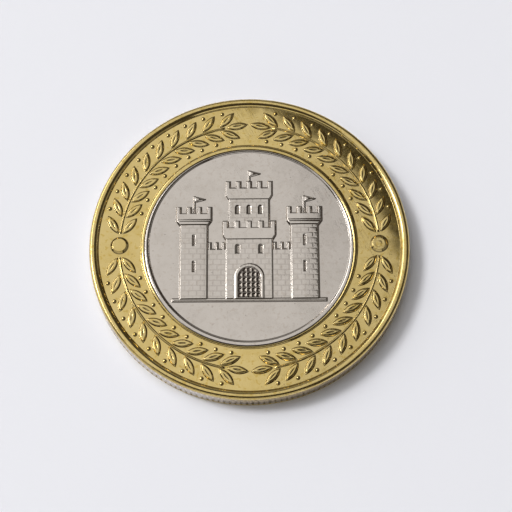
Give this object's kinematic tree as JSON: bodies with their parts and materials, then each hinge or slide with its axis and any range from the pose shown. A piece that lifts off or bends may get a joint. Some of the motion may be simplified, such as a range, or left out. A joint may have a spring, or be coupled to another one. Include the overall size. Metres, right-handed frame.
{
  "type": "game token",
  "caption": "Round two-tone struck game token: nickel-coloured core with a castle in relief, brass-faced ring with laurel branches and dots, raised rims and a reeded edge.",
  "frame": {"origin": "centre of the token on the plane that its reverse rim rests on", "axes": "+Z along the token's axis out of the obverse, +Y towards the top of the obverse design, +X through the right-hand dot"},
  "size_m": [0.025, 0.025, 0.002],
  "materials": {
    "nickel_core": "polished",
    "nickel_edge": "satin",
    "brass_face": "polished"
  },
  "bodies": {
    "root": {"core_disc": "nickel_core", "reeded_ring": "nickel_edge", "obverse_face": "brass_face", "reverse_face": "brass_face"}
  },
  "joints": []
}
